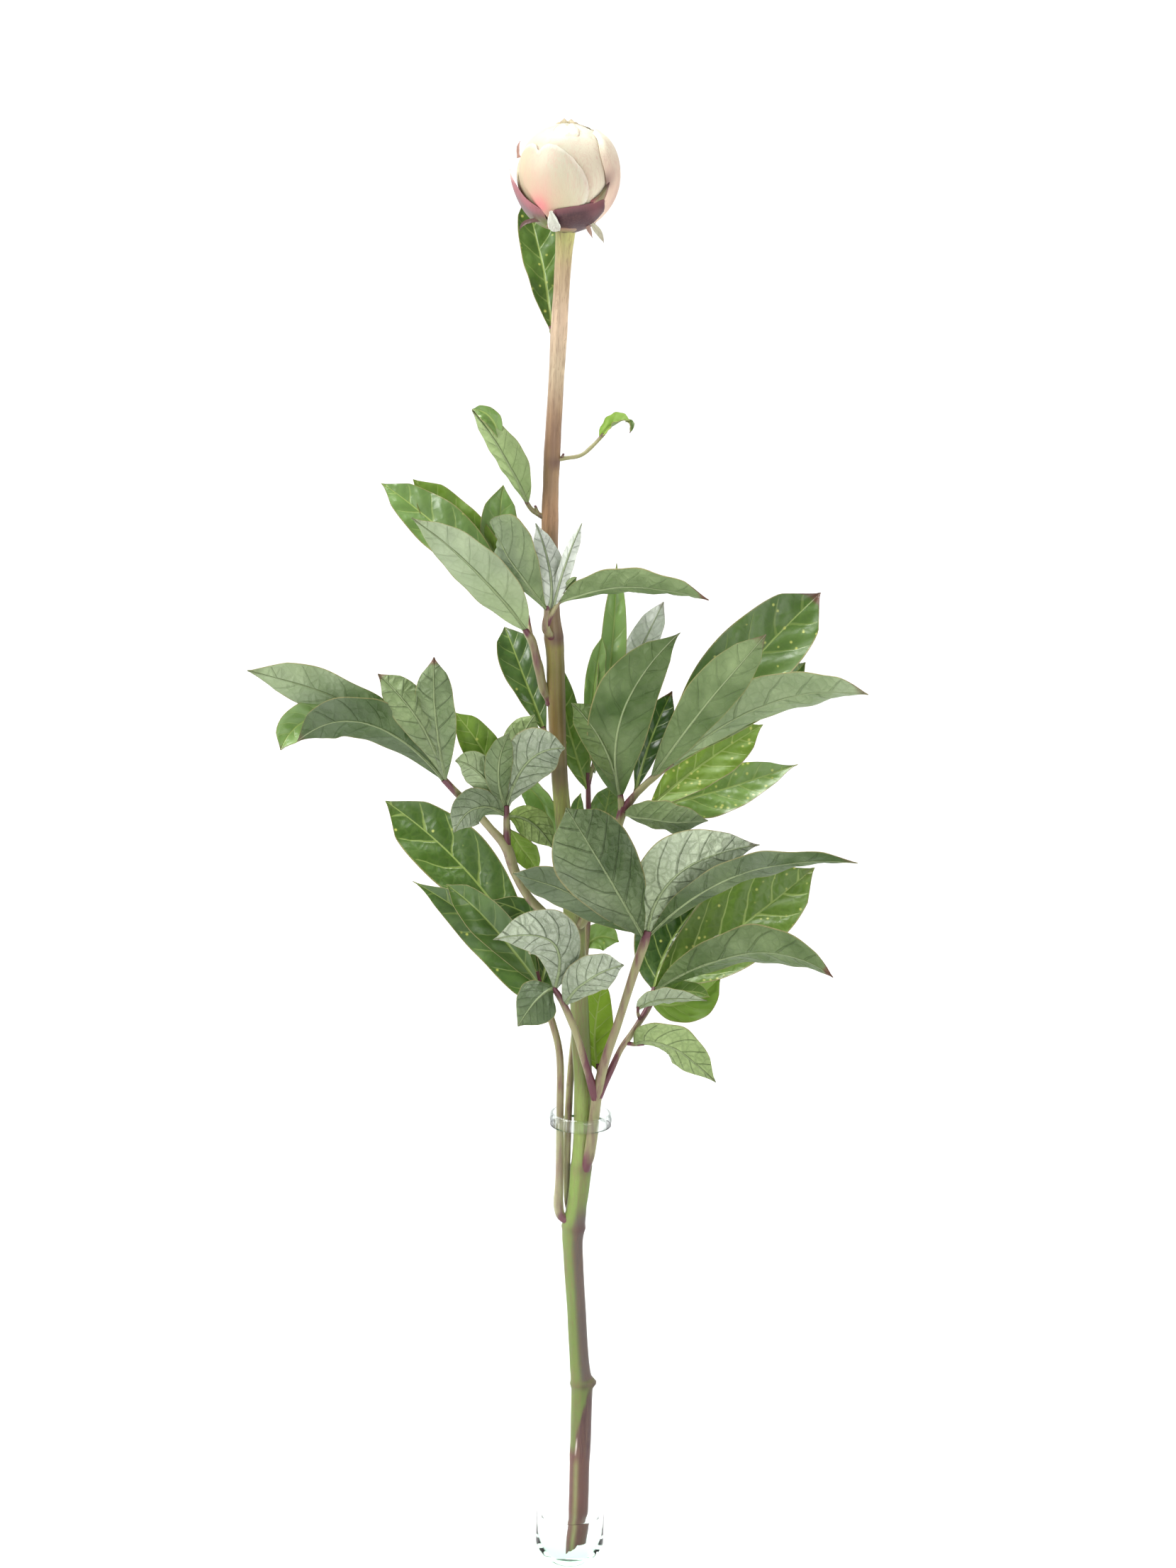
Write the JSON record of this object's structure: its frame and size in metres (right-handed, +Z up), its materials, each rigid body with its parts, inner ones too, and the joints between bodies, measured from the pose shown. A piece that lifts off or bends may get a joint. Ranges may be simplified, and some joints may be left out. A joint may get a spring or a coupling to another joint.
{
  "type": "peony in a bud vase",
  "caption": "Cut peony stem with a closed cream bud, sepals and divided leaves, standing in a tall narrow clear glass bud vase with a little water",
  "frame": {"origin": "on the table, at the middle of the round foot of the vase", "axes": "+Z up along the vase, -Y toward the viewer of the picture, +X to the viewer's right"},
  "size_m": [0.2525, 0.1136, 0.6307],
  "materials": {
    "glass": "polished",
    "water": "gloss",
    "stem": "satin",
    "leaf": "satin",
    "petal": "matte",
    "sepal": "satin"
  },
  "bodies": {
    "root": {"vase": "glass", "water": "water", "stem": "stem", "bud_petals": "petal", "sepals": "sepal", "leaf_bract": "leaf", "leaf_small_right": "leaf", "leaf_small_left": "leaf", "leaf_top_front": "leaf", "leaf_top_left": "leaf", "leaf_behind_left": "leaf", "leaf_right_back": "leaf", "leaf_right": "leaf", "leaf_low_right": "leaf", "leaf_low_left": "leaf", "leaf_left": "leaf"}
  },
  "joints": []
}
